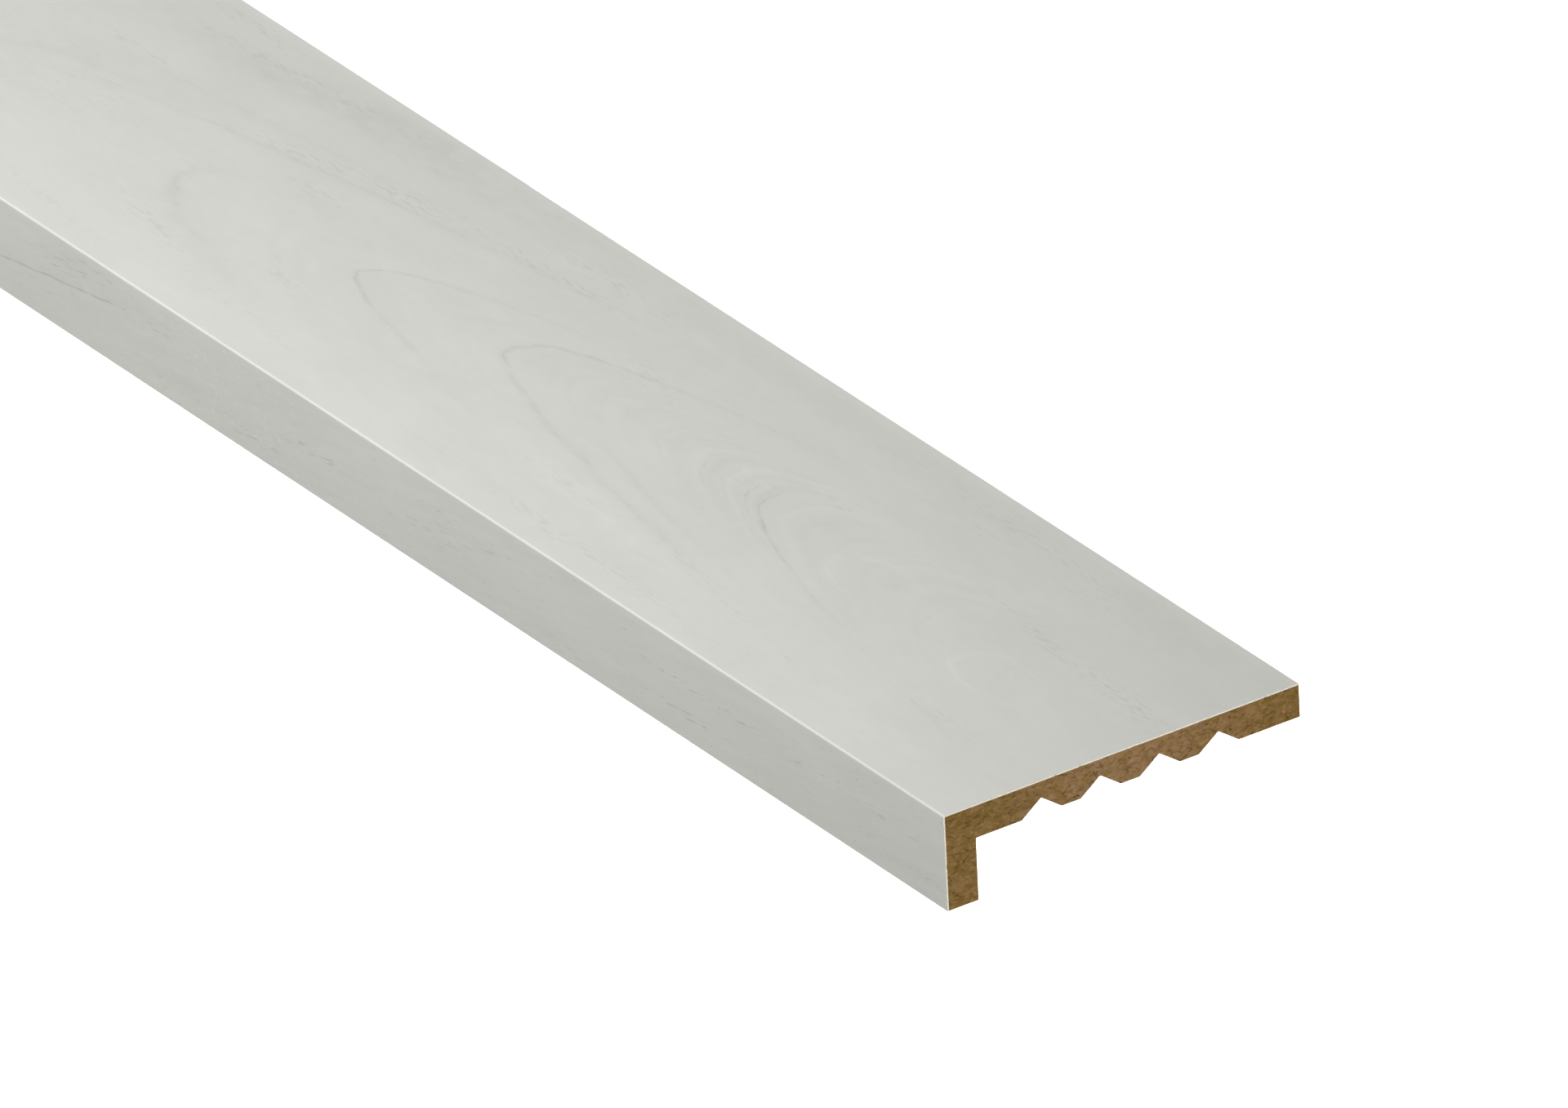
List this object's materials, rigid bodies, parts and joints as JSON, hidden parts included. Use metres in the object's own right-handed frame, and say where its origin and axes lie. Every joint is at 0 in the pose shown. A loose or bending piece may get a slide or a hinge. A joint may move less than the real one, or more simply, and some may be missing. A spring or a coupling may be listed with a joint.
{
  "type": "cover strip",
  "caption": "L-shaped cover strip of wood fibre board with a wide face and a short leg, wrapped in pale wood-decor foil, with V-shaped grooves along its back.",
  "frame": {"origin": "on the back of the wide face, at mid-length, in the middle of the land between the second and third groove", "axes": "+X along the strip towards the cut end seen first in the picture, +Y across the face from the leg to the free edge, +Z out of the decor face"},
  "size_m": [0.4, 0.0799, 0.02],
  "materials": {
    "board": "bare sawn and milled wood fibre board",
    "decor": "satin"
  },
  "bodies": {
    "root": {"mdf_core": "board", "decor_foil": "decor"}
  },
  "joints": []
}
